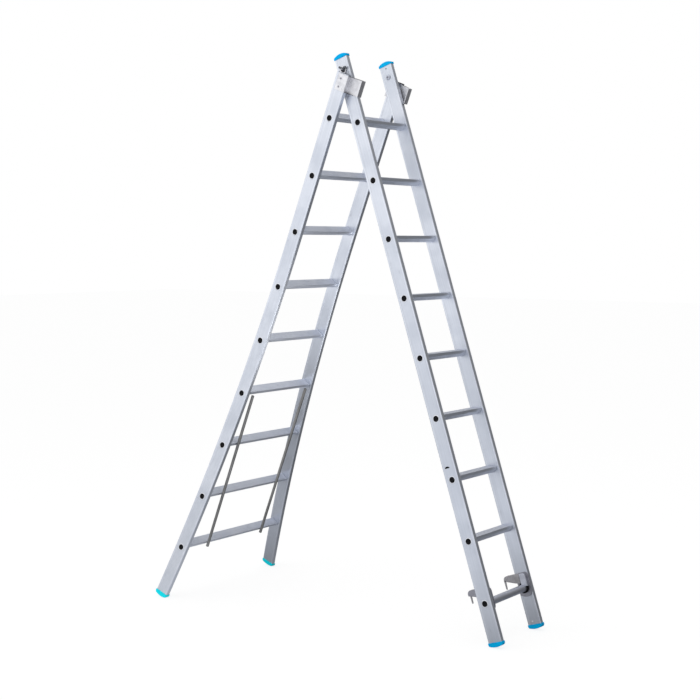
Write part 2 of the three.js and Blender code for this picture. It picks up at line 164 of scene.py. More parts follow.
def section_frame(lean, point, back, up):
    """Local X is the climbing direction, Y across, Z up the stile; point is local (back, 0, up)."""
    turn = Matrix.Rotation(lean, 4, "Y")
    return Matrix.Translation(point - turn @ Vector((back * MM, 0, up * MM))) @ turn


pivot = joint_place("a_frame_fold")
tube_axis = joint_place("hook_swing_left")
tube_axis.y = 0
base_run = node_centre("base_rung_9") - node_centre("base_rung_1")
fly_run = pivot - tube_axis
base_turn = math.atan2(base_run.x, base_run.z)
fly_turn = math.atan2(fly_run.x, fly_run.z)
BASE_FRAME = section_frame(base_turn, pivot, PIVOT_BACK_BASE, PIVOT_UP_BASE)
FLY_FRAME = section_frame(fly_turn, pivot, 0, PIVOT_UP_FLY)
CAP_HALF = STILE_DEPTH / 2 + CAP_PROUD
fly_lean = math.atan2(-fly_run.x, fly_run.z)
fly_drop = FOOT_CORNER - SOLE_FLAT + (CAP_HALF - FOOT_CORNER) * math.sin(fly_lean)
fly_length = (FLY_FRAME.translation.z / MM - fly_drop) / math.cos(fly_lean)
FLY_TAIL = fly_length - FOOT_HEIGHT + FOOT_CORNER


def flare(up):
    """How far the base section's stiles have bent outwards at this height above rung 1."""
    return max(0, FLARE_START - up) ** 2 / (2 * FLARE_RADIUS)


def flare_slope(up):
    """How fast the stiles of the base section move outwards on the way down."""
    return max(0, FLARE_START - up) / FLARE_RADIUS


# ---- mesh building -------------------------------------------------------------------------------
def arc(x, z, radius, start, end, steps):
    """Points on a round stretch, in degrees from +X towards +Z."""
    angles = [math.radians(start + (end - start) * i / steps) for i in range(steps + 1)]
    return [(x + radius * math.cos(a), z + radius * math.sin(a)) for a in angles]


def bow(start, control, end, steps=7):
    """Points on a quadratic curve, without its start."""
    points = []
    for i in range(1, steps + 1):
        t = i / steps
        points.append(tuple(
            (1 - t) ** 2 * a + 2 * t * (1 - t) * b + t * t * c
            for a, b, c in zip(start, control, end)
        ))
    return points


def inset(outline, distance):
    """The outline moved inwards; it runs anticlockwise."""
    moved = []
    for i, point in enumerate(outline):
        before = Vector(point) - Vector(outline[i - 1])
        after = Vector(outline[(i + 1) % len(outline)]) - Vector(point)
        before.normalize()
        after.normalize()
        normal = Vector((-before.y - after.y, before.x + after.x))
        spread = max(0.5, normal.length_squared / 2)
        moved.append(tuple(Vector(point) + normal * (distance / spread)))
    return moved


def anticlockwise(outline):
    """The same outline, turned round if it runs clockwise."""
    area = sum(a[0] * b[1] - b[0] * a[1] for a, b in zip(outline, outline[1:] + outline[:1]))
    return outline if area > 0 else outline[::-1]


class Form:
    """Closed shells in a section's own frame, in millimetres, that become one piece."""

    def __init__(self):
        self.points = []
        self.faces = []

    def add(self, rings, looped=False):
        """Skins rings of equal length; closes the two ends or joins the last ring to the first."""
        first = len(self.points)
        count = len(rings[0])
        for ring in rings:
            self.points += [Vector(point) for point in ring]
        joins = len(rings) if looped else len(rings) - 1
        for i in range(joins):
            low = first + i * count
            high = first + (i + 1) % len(rings) * count
            for k in range(count):
                following = (k + 1) % count
                self.faces.append((low + k, low + following, high + following, high + k))
        if not looped:
            last = first + (len(rings) - 1) * count
            self.faces.append(tuple(range(first + count - 1, first - 1, -1)))
            self.faces.append(tuple(range(last, last + count)))
        return self

    def slab(self, outline, low, high, edge, place):
        """An outline in X-Z, extruded along Y, with rounded edges."""
        outline = anticlockwise(outline)
        rings = []
        steps = 3
        for end, inward in ((low, 1), (high, -1)):
            turns = range(steps + 1) if inward > 0 else range(steps, -1, -1)
            for i in turns:
                angle = math.pi / 2 * i / steps
                ring = inset(outline, edge * (1 - math.sin(angle)))
                y = end + inward * edge * (1 - math.cos(angle))
                rings.append([(x, y, z) for x, z in ring])
        return self.add([[place @ Vector(point) for point in ring] for ring in rings])

    def turned(self, profile, place, steps):
        """A closed profile of (radius, distance along Y), turned about Y and put at place."""
        rings = []
        for i in range(steps):
            angle = 2 * math.pi * i / steps
            ring = [(r * math.cos(angle), y, r * math.sin(angle)) for r, y in profile]
            rings.append([place @ Vector(point) for point in ring])
        return self.add(rings, looped=True)

    def bent(self, side):
        """Bends the form outwards with the flared stiles of the base section."""
        for point in self.points:
            point.y += side * flare(point.z)
        return self

    def piece(self, name, section, material, body, slot, *replaced, settled=False):
        """Makes the object, smooth where faces meet flatly; settled turns the mesh itself."""
        mesh = bpy.data.meshes.new(name)
        mesh.from_pydata([point * MM for point in self.points], [], self.faces)
        if settled:
            mesh.transform(section)
            section = Matrix.Identity(4)
        merged = bmesh.new()
        merged.from_mesh(mesh)
        bmesh.ops.remove_doubles(merged, verts=merged.verts, dist=1e-6)
        bmesh.ops.recalc_face_normals(merged, faces=merged.faces)
        merged.to_mesh(mesh)
        merged.free()
        mesh.shade_smooth()
        mesh.set_sharp_from_angle(angle=SMOOTH_BELOW)
        mesh.materials.append(material)
        thing = bpy.data.objects.new(name, mesh)
        bpy.context.scene.collection.objects.link(thing)
        thing.matrix_world = section
        thing.modifiers.new("even_shading", "WEIGHTED_NORMAL").keep_sharp = True
        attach(thing, body)
        if replaced:
            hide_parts(*replaced)
        return thing


def outward(side, x, out, z, slope=0):
    """A place this far outwards whose +Y axis points away from the middle of the ladder."""
    turn = Matrix.Rotation(side * slope, 4, "X")
    mirror = Matrix.Diagonal((1, side, 1, 1))
    return Matrix.Translation((x, side * out, z)) @ turn @ mirror


# ---- materials -----------------------------------------------------------------------------------
RANGE_SOCKETS = ("From Min", "From Max", "To Min", "To Max")


def smooth_range(tree, source, limits):
    """Maps a value smoothly: limits are the two ends it comes from and the two it goes to."""
    node = tree.nodes.new("ShaderNodeMapRange")
    node.interpolation_type = "SMOOTHSTEP"
    for socket, number in zip(RANGE_SOCKETS, limits):
        node.inputs[socket].default_value = number
    tree.links.new(source, node.inputs["Value"])
    return node.outputs["Result"]


class Shader:
    """A node material on the Principled shader, with the noises that the finishes share."""

    def __init__(self, name, metallic, **sockets):
        self.material = bpy.data.materials.new(name)
        self.material.use_nodes = True
        self.tree = self.material.node_tree
        self.shader = self.tree.nodes["Principled BSDF"]
        self.shader.inputs["Metallic"].default_value = metallic
        for socket, value in sockets.items():
            self.shader.inputs[socket.replace("_", " ")].default_value = value
        self.place = self.node("ShaderNodeTexCoord").outputs["Object"]
        self.bumps = None

    def node(self, kind, **settings):
        """A new node, with its settings."""
        node = self.tree.nodes.new(kind)
        for key, value in settings.items():
            setattr(node, key, value)
        return node

    def link(self, source, target):
        """Joins an output to an input."""
        self.tree.links.new(source, target)

    def noise(self, scale, detail, rough, stretch=(1, 1, 1)):
        """Noise whose cells are 1 / (scale * stretch) metres long along each axis."""
        mapping = self.node("ShaderNodeMapping")
        mapping.inputs["Scale"].default_value = stretch
        self.link(self.place, mapping.inputs["Vector"])
        noise = self.node("ShaderNodeTexNoise")
        noise.inputs["Scale"].default_value = scale
        noise.inputs["Detail"].default_value = detail
        noise.inputs["Roughness"].default_value = rough
        self.link(mapping.outputs["Vector"], noise.inputs["Vector"])
        return noise.outputs["Fac"]

    def cells(self, scale):
        """An irregular grid of cells, each with a tone of its own."""
        cells = self.node("ShaderNodeTexVoronoi")
        cells.inputs["Scale"].default_value = scale
        self.link(self.place, cells.inputs["Vector"])
        tone = self.node("ShaderNodeRGBToBW")
        self.link(cells.outputs["Color"], tone.inputs["Color"])
        return tone.outputs["Val"]

    def spread(self, value, low, high, start, end):
        """Maps low..high onto start..end."""
        return smooth_range(self.tree, value, (low, high, start, end))

    def total(self, first, second):
        """The sum of two values."""
        node = self.node("ShaderNodeMath", operation="ADD")
        self.link(first, node.inputs[0])
        self.link(second, node.inputs[1])
        return node.outputs["Value"]

    def across(self, axis):
        """Distance from the middle plane of the piece along one axis, in metres."""
        split = self.node("ShaderNodeSeparateXYZ")
        self.link(self.place, split.inputs["Vector"])
        node = self.node("ShaderNodeMath", operation="ABSOLUTE")
        self.link(split.outputs[axis], node.inputs[0])
        return node.outputs["Value"]

    def blend(self, factor, first, second):
        """Mixes two colours; each is a colour output or three numbers."""
        node = self.node("ShaderNodeMix", data_type="RGBA")
        self.link(factor, node.inputs["Factor"])
        for socket, colour in (("A", first), ("B", second)):
            target = [s for s in node.inputs if s.name == socket and s.type == "RGBA"][0]
            if isinstance(colour, tuple):
                target.default_value = (*colour, 1)
            else:
                self.link(colour, target)
        return [s for s in node.outputs if s.type == "RGBA"][0]

    def bump(self, height, strength, distance):
        """Adds a relief; later ones lie on the earlier ones."""
        node = self.node("ShaderNodeBump")
        node.inputs["Strength"].default_value = strength
        node.inputs["Distance"].default_value = distance
        self.link(height, node.inputs["Height"])
        if self.bumps:
            self.link(self.bumps, node.inputs["Normal"])
        self.bumps = node.outputs["Normal"]

    def done(self, colour, roughness):
        """Wires colour, roughness and relief to the shader."""
        self.link(colour, self.shader.inputs["Base Color"])
        self.link(roughness, self.shader.inputs["Roughness"])
        self.link(self.bumps, self.shader.inputs["Normal"])
        return self.material


METALLIC = 0.9
# The stile's band ends between these distances from its middle, in metres.
BAND_EDGE = (0.0205, 0.0222)


def extruded_metal(name, light, dark, stretch, roughness, band=0.0):
    """Extruded aluminium: die lines along one axis, cloudy oxide, darker handling marks and, where
    band is set, a darker band that is partly painted shade.
    """
    shader = Shader(name, metallic=METALLIC)
    lines = shader.noise(1, 4.0, 0.6, stretch)
    clouds = shader.noise(7, 4.0, 0.6)
    marks = shader.noise(1, 2.0, 0.7, tuple(s * 0.12 + 14 for s in stretch))
    colour = shader.blend(shader.spread(clouds, 0.35, 0.68, 0, 1), light, dark)
    fade = shader.spread(lines, 0.3, 0.7, 0, 0.35)
    colour = shader.blend(fade, colour, tuple(c * 0.82 for c in dark))
    spots = shader.spread(marks, 0.66, 0.76, 0, 0.3)
    colour = shader.blend(spots, colour, tuple(c * 0.6 for c in dark))
    # The darker band is partly a duller finish than the rubbed lips, partly painted shade of the
    # recess.
    if band:
        edge = shader.spread(shader.across("X"), *BAND_EDGE, band, 0)
        colour = shader.blend(edge, colour, tuple(c * 0.78 for c in dark))
    cloudy = shader.spread(clouds, 0.3, 0.7, roughness - 0.04, roughness + 0.08)
    rough = shader.total(cloudy, shader.spread(lines, 0.3, 0.7, 0, 0.06))
    shader.bump(lines, 0.35, 0.00006)
    shader.bump(clouds, 0.25, 0.0006)
    return shader.done(colour, rough)


def pressed_metal(name, light, dark, roughness, speckle=90):
    """Plated sheet steel: faint crystal spangle, dull patches and a fine grain."""
    shader = Shader(name, metallic=METALLIC)
    clouds = shader.noise(30, 4.0, 0.65)
    grain = shader.noise(900, 2.0, 0.5)
    spangle = shader.spread(shader.cells(speckle), 0.2, 0.8, 0, 0.45)
    colour = shader.blend(shader.spread(clouds, 0.35, 0.7, 0, 1), light, dark)
    colour = shader.blend(spangle, colour, tuple(c * 0.86 for c in dark))
    cloudy = shader.spread(clouds, 0.3, 0.7, roughness - 0.05, roughness + 0.1)
    rough = shader.total(cloudy, shader.spread(grain, 0.3, 0.7, 0, 0.05))
    shader.bump(grain, 0.3, 0.00005)
    shader.bump(clouds, 0.2, 0.0003)
    return shader.done(colour, rough)


def moulded_plastic(name, light, dark, roughness, specular):
    """Moulded plastic: fine spark-eroded grain, slight mottling and scuffs."""
    shader = Shader(name, metallic=0.0, Specular_IOR_Level=specular)
    clouds = shader.noise(45, 3.0, 0.6)
    grain = shader.noise(1400, 2.0, 0.55)
    scuffs = shader.noise(110, 5.0, 0.75)
    colour = shader.blend(shader.spread(clouds, 0.35, 0.7, 0, 1), light, dark)
    worn = shader.spread(scuffs, 0.62, 0.74, 0, 0.35)
    colour = shader.blend(worn, colour, tuple(min(1, c * 1.15 + 0.01) for c in light))
    cloudy = shader.spread(clouds, 0.3, 0.7, roughness, roughness + 0.1)
    rough = shader.total(cloudy, shader.spread(scuffs, 0.55, 0.75, 0, 0.12))
    shader.bump(grain, 0.4, 0.00008)
    shader.bump(clouds, 0.2, 0.0003)
    return shader.done(colour, rough)


ALONG_STILE = (260, 260, 1.4)
ALONG_RUNG = (320, 1.6, 320)
ALONG_ROD = (300, 300, 2.0)
stile_metal = extruded_metal(
    "stile_aluminium", (0.72, 0.75, 0.82), (0.65, 0.685, 0.76), ALONG_STILE, 0.31, band=0.3)
rung_metal = extruded_metal(
    "rung_aluminium", (0.79, 0.82, 0.90), (0.71, 0.745, 0.83), ALONG_RUNG, 0.40)
rod_metal = extruded_metal("rod_metal", (0.36, 0.355, 0.35), (0.27, 0.265, 0.26), ALONG_ROD, 0.45)
tube_metal = extruded_metal(
    "tube_aluminium", (0.60, 0.62, 0.69), (0.52, 0.54, 0.61), ALONG_RUNG, 0.38)
rim_metal = pressed_metal("swaged_aluminium", (0.90, 0.91, 0.95), (0.82, 0.84, 0.89), 0.34)
zinc_metal = pressed_metal("zinc_steel", (0.80, 0.80, 0.83), (0.70, 0.70, 0.73), 0.42)
rivet_metal = pressed_metal(
    "rivet_steel", (0.40, 0.40, 0.44), (0.31, 0.31, 0.35), 0.40, speckle=300)
hook_metal = pressed_metal(
    "hook_steel", (0.46, 0.45, 0.465), (0.35, 0.34, 0.355), 0.46, speckle=140)
cover_metal = pressed_metal(
    "hook_cover_steel", (0.66, 0.68, 0.75), (0.55, 0.57, 0.64), 0.42, speckle=140)
blue_plastic = moulded_plastic(
    "blue_plastic", (0.002, 0.50, 0.93), (0.001, 0.42, 0.85), 0.48, 0.03)
# A brighter copy of the blue plastic for the base section's feet; the extra brightness is painted
# light.
blue_plastic_painted_light = moulded_plastic("blue_plastic_painted_light", (0.012, 0.90, 1.0), (0.006, 0.84, 1.0), 0.48, 0.05)
black_plastic = moulded_plastic(
    "black_plastic", (0.004, 0.004, 0.005), (0.002, 0.002, 0.003), 0.45, 0.12)
slate_plastic = moulded_plastic(
    "slate_plastic", (0.10, 0.11, 0.13), (0.065, 0.07, 0.085), 0.45, 0.25)


# ---- stiles --------------------------------------------------------------------------------------
def stile_ring():
    """Outline of the box section in X-Y: rounded corners, raised lips and the shallow band."""
    x = STILE_DEPTH / 2
    y = STILE_THICKNESS / 2
    shoulder = x - LIP_WIDTH
    half = arc(x - STILE_CORNER, -y + STILE_CORNER, STILE_CORNER, -90, 0, 4)
    half += arc(x - STILE_CORNER, y - STILE_CORNER, STILE_CORNER, 0, 90, 4)
    half += [
        (shoulder + 0.4, y), (shoulder - 0.1, y - 0.15), (shoulder - 0.65, y - BAND_DEPTH + 0.15),
        (shoulder - 1.2, y - BAND_DEPTH), (-shoulder + 1.2, y - BAND_DEPTH),
        (-shoulder + 0.65, y - BAND_DEPTH + 0.15), (-shoulder + 0.1, y - 0.15),
        (-shoulder - 0.4, y),
    ]
    return half + [(-px, -py) for px, py in half]


def stile_form(side, width, levels):
    """A hollow box section through the given levels."""
    middle = side * (width - STILE_THICKNESS) / 2
    outer = stile_ring()
    shrink_x = 1 - 2 * STILE_WALL / STILE_DEPTH
    shrink_y = 1 - 2 * (STILE_WALL + BAND_DEPTH) / STILE_THICKNESS
    inner = [(x * shrink_x, y * shrink_y) for x, y in outer]
    rings = [[(x, middle + y, z) for x, y in outer] for z in levels]
    rings += [[(x, middle + y, z) for x, y in inner] for z in reversed(levels)]
    return Form().add(rings, looped=True)


def levels_between(low, high, step):
    """Even levels, no further apart than step."""
    count = math.ceil((high - low) / step)
    return [low + (high - low) * i / count for i in range(count + 1)]


def make_stiles():
    """Four stiles; the base section's two bend outwards below the flare's start."""
    base_levels = levels_between(-BASE_TAIL, FLARE_START, FLARE_STEP)
    base_levels += [STRAIGHT_MIDDLE, BASE_TOP]
    fly_levels = levels_between(-FLY_TAIL, FLY_TOP, STRAIGHT_STEP)
    for name, side in SIDES.items():
        base = stile_form(side, BASE_WIDTH, base_levels).bent(side)
        base.piece(f"base_stile_{name}_extrusion", BASE_FRAME, stile_metal, "base_section",
                   "stile_aluminium", f"base_stile_{name}")
        fly = stile_form(side, FLY_WIDTH, fly_levels)
        fly.piece(f"fly_stile_{name}_extrusion", FLY_FRAME, stile_metal, "fly_section",
                  "stile_aluminium", f"fly_stile_{name}")


# ---- rungs ---------------------------------------------------------------------------------------
def rung_ring():
    """Outline of a rung in X-Z: grooved tread, upright walls and a narrowing belly."""
    top = TREAD_ABOVE_AXIS
    half = TREAD_HALF
    points = arc(-half + TREAD_CORNER, top - TREAD_CORNER, TREAD_CORNER, 180, 90, 3)
    pitch = 2 * (half - GROOVE_MARGIN) / GROOVE_COUNT
    for i in range(GROOVE_COUNT):
        x = -half + GROOVE_MARGIN + pitch * (i + 0.5)
        bottom = top - GROOVE_DEPTH
        points += [(x - 1.3, top), (x - 0.8, bottom), (x + 0.8, bottom), (x + 1.3, top)]
    points += arc(half - TREAD_CORNER, top - TREAD_CORNER, TREAD_CORNER, 90, 0, 3)
    lower = [(half, 4.2), (half - 0.4, 2.6)]
    lower += bow((half - 0.4, 2.6), (14.8, -3.2), (11.6, -8.4), 4)
    lower += bow((11.6, -8.4), (9.8, -11.6), (6.5, -BELLY_BELOW_AXIS + 0.1), 4)
    return points + lower + [(-x, z) for x, z in reversed(lower)]


def tube_ring():
    """Outline of the round rung."""
    return arc(0, 0, TUBE_RADIUS, 0, 360 - 360 / TUBE_STEPS, TUBE_STEPS - 1)


def rung_form(outline, setback, tilt, up, node, inner_face, flared, bead=1):
    """A rung between its stiles, with a swaged bead against each inner face unless bead is 0."""
    low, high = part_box(node)
    half = (high.y - low.y) / 2 / MM
    beads = [(9, 0), (7.6, 0.9), (6.2, 1.7), (4.6, 1.9), (3.0, 1.5), (1.8, 0.5), (1.0, 0)]
    stations = [(-1, None, 0)]
    stations += [(-1, back, grow) for back, grow in reversed(beads)]
    stations += [(1, back, grow) for back, grow in beads]
    stations += [(1, None, 0)]
    turn = Matrix.Rotation(tilt, 3, "Y")
    rings = []
    for side, back, grow in stations:
        ring = []
        for x, z in outline:
            swell = 1 + bead * grow / TREAD_HALF
            point = turn @ Vector((x * swell - setback, 0, z * swell))
            face = inner_face + (flare(up + point.z) if flared else 0)
            point.y = side * (half if back is None else face - back)
            ring.append(point + Vector((0, 0, up)))
        rings.append(ring)
    return Form().add(rings)


def make_rungs():
    """Nine rungs in each section; the fly section's lowest is a round tube."""
    base_face = BASE_WIDTH / 2 - STILE_THICKNESS + BAND_DEPTH
    fly_face = FLY_WIDTH / 2 - STILE_THICKNESS + BAND_DEPTH
    extruded = (rung_ring(), TREAD_SETBACK, RUNG_TILT)
    for i in range(RUNG_COUNT):
        up = i * RUNG_PITCH
        node = f"base_rung_{i + 1}"
        rung = rung_form(*extruded, up, node, base_face, True)
        rung.piece(f"{node}_extrusion", BASE_FRAME, rung_metal, "base_section",
                   "rung_aluminium", node)
        node = f"fly_rung_{i + 1}"
        shape = extruded if i else (tube_ring(), 0, 0)
        rung = rung_form(*shape, up, node, fly_face, False, bead=1 if i else 0)
        metal = rung_metal if i else tube_metal
        rung.piece(f"{node}_extrusion", FLY_FRAME, metal, "fly_section",
                   "rung_aluminium", node)


# ---- rung end plugs ------------------------------------------------------------------------------
PLUG_PROFILE = [
    (0.01, -2), (PLUG_RADIUS - 0.4, -2), (PLUG_RADIUS - 0.4, 0.9), (PLUG_RADIUS - 0.9, 1.5),
    (PLUG_RADIUS - 2.2, 1.9), (6.2, 2.0), (4.6, 1.7), (3.6, 0.9), (2.6, 0.5), (0.01, 0.45),
]
RIM_PROFILE = [
    (PLUG_RADIUS - 0.3, -2), (RIM_RADIUS - 0.8, -2), (RIM_RADIUS, -0.1), (RIM_RADIUS - 0.2, 0.5),
    (RIM_RADIUS - 0.9, 1.05), (PLUG_RADIUS + 1.3, 1.3), (PLUG_RADIUS + 0.5, 1.15),
    (PLUG_RADIUS, 0.6),
]


def make_plugs():
    """The black plugs and the bright swaged rims around them, on the outer faces of all stiles."""
    sections = {
        "base": (BASE_FRAME, BASE_WIDTH, flare, flare_slope),
        "fly": (FLY_FRAME, FLY_WIDTH, lambda up: 0, lambda up: 0),
    }
    for section, (place, width, offset, slope) in sections.items():
        for name, side in SIDES.items():
            plugs = Form()
            rims = Form()
            for i in range(RUNG_COUNT):
                up = i * RUNG_PITCH
                out = width / 2 - BAND_DEPTH + offset(up)
                spot = outward(side, 0, out, up, slope(up))
                plugs.turned(PLUG_PROFILE, spot, 28)
                rims.turned(RIM_PROFILE, spot, 32)
            body = f"{section}_section"
            plugs.piece(f"{section}_rung_plugs_{name}", place, black_plastic, body, "black_plastic")
            rims.piece(f"{section}_rung_rims_{name}", place, rim_metal, body, "rung_aluminium")


# ---- feet and caps -------------------------------------------------------------------------------
SHOULDER = [
    (CAP_HALF, -1.2), (CAP_HALF - 0.9, -CLEARANCE),
    (-CAP_HALF + 0.9, -CLEARANCE), (-CAP_HALF, -1.2),
]


def foot_outline(section, tail):
    """Block below a stile end: bowed sole, rounded corners, flat where it bears on the floor."""
    x = CAP_HALF - FOOT_CORNER
    z = FOOT_CORNER - FOOT_HEIGHT
    sole = arc(-x, z, FOOT_CORNER, 180, 270, 14)
    sole += bow((-x, -FOOT_HEIGHT), (0, -FOOT_HEIGHT - 2 * SOLE_BOW), (x, -FOOT_HEIGHT), 12)
    sole += arc(x, z, FOOT_CORNER, 270, 360, 14)[1:]
    settled = []
    for px, pz in sole:
        point = section @ Vector((px * MM, 0, (pz - tail) * MM))
        point.z = max(0, point.z)
        local = section.inverted() @ point / MM
        settled.append((local.x, local.z + tail))
    return settled + SHOULDER


def dome_outline():
    """Domed block; it is turned over for the top of a stile."""
    reach = math.degrees(math.asin(CAP_HALF / DOME_RADIUS))
    return arc(0, DOME_RADIUS - DOME_HEIGHT, DOME_RADIUS, -90 - reach, -90 + reach, 24) + SHOULDER


def end_form(side, width, outline, lift, flip):
    """The block and the plug inside the stile."""
    inner = width / 2 - STILE_THICKNESS - CAP_PROUD
    outer = width / 2 + CAP_PROUD
    turned = Matrix.Translation((0, 0, lift)) @ Matrix.Diagonal((1, 1, flip, 1))
    mirror = turned @ Matrix.Diagonal((1, side, 1, 1))
    form = Form().slab(outline, inner, outer, BLOCK_EDGE, mirror)
    plug_x = STILE_DEPTH / 2 - STILE_WALL - CLEARANCE
    plug_y = STILE_THICKNESS / 2 - STILE_WALL - BAND_DEPTH - CLEARANCE
    middle = (inner + outer) / 2
    depth = END_PLUG_DEPTH
    core = [(-plug_x, -1), (plug_x, -1), (plug_x - 1, depth), (-plug_x + 1, depth)]
    return form.slab(core, middle - plug_y, middle + plug_y, 1.0, mirror)


def make_ends():
    """Blue feet on all stiles and blue domed caps on the fly section."""
    base_outline = foot_outline(BASE_FRAME, BASE_TAIL)
    fly_outline = foot_outline(FLY_FRAME, FLY_TAIL)
    for name, side in SIDES.items():
        foot = end_form(side, BASE_WIDTH, base_outline, -BASE_TAIL, 1).bent(side)
        # The base feet take the brighter copy of the blue plastic: painted light.
        foot.piece(f"base_foot_{name}_block", BASE_FRAME, blue_plastic_painted_light, "base_section",
                   "blue_plastic", f"base_foot_{name}", settled=True)
        foot = end_form(side, FLY_WIDTH, fly_outline, -FLY_TAIL, 1)
        foot.piece(f"fly_foot_{name}_block", FLY_FRAME, blue_plastic, "fly_section",
                   "blue_plastic", f"fly_foot_{name}", settled=True)
        cap = end_form(side, FLY_WIDTH, dome_outline(), FLY_TOP, -1)
        cap.piece(f"fly_top_cap_{name}_block", FLY_FRAME, blue_plastic, "fly_section",
                  "blue_plastic", f"fly_top_cap_{name}", settled=True)


# ---- base section fittings -----------------------------------------------------------------------
def folded_outline(corners, thickness, radius):
    """Outline in X-Y of a sheet that follows the corner points, with rounded bends."""
    centre = [Vector(corners[0])]
    for before, corner, after in zip(corners, corners[1:], corners[2:]):
        corner = Vector(corner)
        start = corner + (Vector(before) - corner).normalized() * radius
        end = corner + (Vector(after) - corner).normalized() * radius
        centre += [start] + [Vector(p) for p in bow(start, corner, end, 5)]
    centre.append(Vector(corners[-1]))
    left, right = [], []
    for i, point in enumerate(centre):
        before = centre[max(i - 1, 0)]
        after = centre[min(i + 1, len(centre) - 1)]
        along = (after - before).normalized()
        normal = Vector((-along.y, along.x)) * thickness / 2
        left.append(tuple(point + normal))
        right.append(tuple(point - normal))
    return left + right[::-1]


def make_brackets():
    """Folded guide brackets: cheek, web, guide plate and turned-in lip.

    Known fault: the right one's lower end face also spans part of its open middle.
    """
    outer_face = BASE_WIDTH / 2
    inner_face = outer_face - STILE_THICKNESS
    cheek = outer_face + CLEARANCE + SHEET / 2
    plate = inner_face - CLEARANCE - SHEET / 2
    web = STILE_DEPTH / 2 + CLEARANCE + SHEET / 2
    lip = LIP_INSIDE + SHEET / 2
    corners = [(CHEEK_BACK, cheek), (web, cheek), (web, plate + 1.2), (web + 1.2, plate),
               (lip, plate), (lip, inner_face - LIP_LENGTH)]
    outline = folded_outline(corners, SHEET, 0.6)
    for name, side in SIDES.items():
        upright = Matrix(((1, 0, 0, 0), (0, 0, side, 0), (0, 1, 0, 0), (0, 0, 0, 1)))
        form = Form().slab(outline, BRACKET_LOW, BRACKET_HIGH, 0.5, upright)
        form.piece(f"guide_bracket_{name}_sheet", BASE_FRAME, zinc_metal, "base_section",
                   "zinc_steel", f"guide_bracket_{name}")


def make_hinge_blocks():
    """Blocks on the inner faces, each with an ear whose open notch takes the pivot bolt."""
    inner_face = BASE_WIDTH / 2 - STILE_THICKNESS
    back = -STILE_DEPTH / 2
    front = STILE_DEPTH / 2 - BLOCK_SETBACK
    shoulder = BRACKET_HIGH - BLOCK_DROP
    notch = BOLT_RADIUS + NOTCH_PLAY
    rim = math.degrees(math.asin(notch / EAR_RADIUS))
    block = [(back, BRACKET_LOW), (front, BRACKET_LOW), (front, shoulder), (back, shoulder)]
    ear = [(back, shoulder - 10), (back + 2, shoulder - 10)]
    ear += [(PIVOT_BACK_BASE + EAR_RADIUS, shoulder - 2)]
    ear += arc(PIVOT_BACK_BASE, PIVOT_UP_BASE, EAR_RADIUS, 0, 90 - rim, 8)
    ear += arc(PIVOT_BACK_BASE, PIVOT_UP_BASE, notch, 0, -180, 10)
    ear += arc(PIVOT_BACK_BASE, PIVOT_UP_BASE, EAR_RADIUS, 90 + rim, 180, 8)
    for name, side in SIDES.items():
        mirror = Matrix.Diagonal((1, side, 1, 1))
        form = Form().slab(block, HINGE_SEAT, inner_face - CLEARANCE, 0.9, mirror)
        form.slab(ear, HINGE_SEAT, HINGE_SEAT + EAR_THICKNESS, 0.4, mirror)
        form.piece(f"hinge_block_{name}_casting", BASE_FRAME, zinc_metal, "base_section",
                   "zinc_steel", f"hinge_block_{name}")


def make_rivets():
    """Domed rivets through brackets and hinge blocks, and one in each top cap and fly foot."""
    cheek = BASE_WIDTH / 2 + CLEARANCE + SHEET
    head = [(0.01, 2.4), (1.6, 2.3), (3.0, 1.8), (4.1, 1.0), (4.5, 0.25), (4.4, 0), (0.01, 0)]
    tail = [(0.01, -0.6), (1.5, -0.6), (1.9, -0.4), (3.2, -0.35), (3.7, -0.1)]
    tail += [(3.7, 0.3), (0.01, 0.3)]
    small = [(r * SMALL_RIVET, -y) for r, y in head]
    inner = FLY_WIDTH / 2 - STILE_THICKNESS + BAND_DEPTH
    for name, side in SIDES.items():
        for level, up in zip(("lower", "upper"), RIVET_HEIGHTS):
            rivet = Form().turned(head, outward(side, 0, cheek, up), 24)
            rivet.turned(tail, outward(side, 0, HINGE_SEAT, up), 24)
            node = f"bracket_rivet_{name}_{level}"
            rivet.piece(f"{node}_heads", BASE_FRAME, rivet_metal, "base_section",
                        "zinc_steel", node)
        spot = outward(side, 0, inner, FLY_TOP - CAP_RIVET_DROP)
        cap_rivet = Form().turned(small, spot, 24)
        cap_rivet.piece(f"cap_rivet_{name}", FLY_FRAME, rivet_metal, "fly_section", "zinc_steel")
        spot = outward(side, FOOT_RIVET_BACK, inner, FOOT_RIVET_UP - FLY_TAIL)
        foot_rivet = Form().turned(small, spot, 24)
        foot_rivet.piece(f"foot_rivet_{name}", FLY_FRAME, rim_metal, "fly_section", "zinc_steel")


def make_rods():
    """Round guide rods in front of the three lowest rungs of the base section."""
    profile = [
        (ROD_RADIUS - ROD_WALL, -ROD_TAIL), (ROD_RADIUS - 0.4, -ROD_TAIL),
        (ROD_RADIUS, -ROD_TAIL + 0.4), (ROD_RADIUS, ROD_TOP - 0.4),
        (ROD_RADIUS - 0.4, ROD_TOP), (ROD_RADIUS - ROD_WALL, ROD_TOP),
    ]
    upright = Matrix.Rotation(math.pi / 2, 4, "X")
    for name, side in SIDES.items():
        place = Matrix.Translation((ROD_FORWARD, side * ROD_SPREAD, 0)) @ upright
        rod = Form().turned(profile, place, 32)
        rod.piece(f"guide_rod_{name}_tube", BASE_FRAME, rod_metal, "base_section",
                  "rod_aluminium", f"guide_rod_{name}")


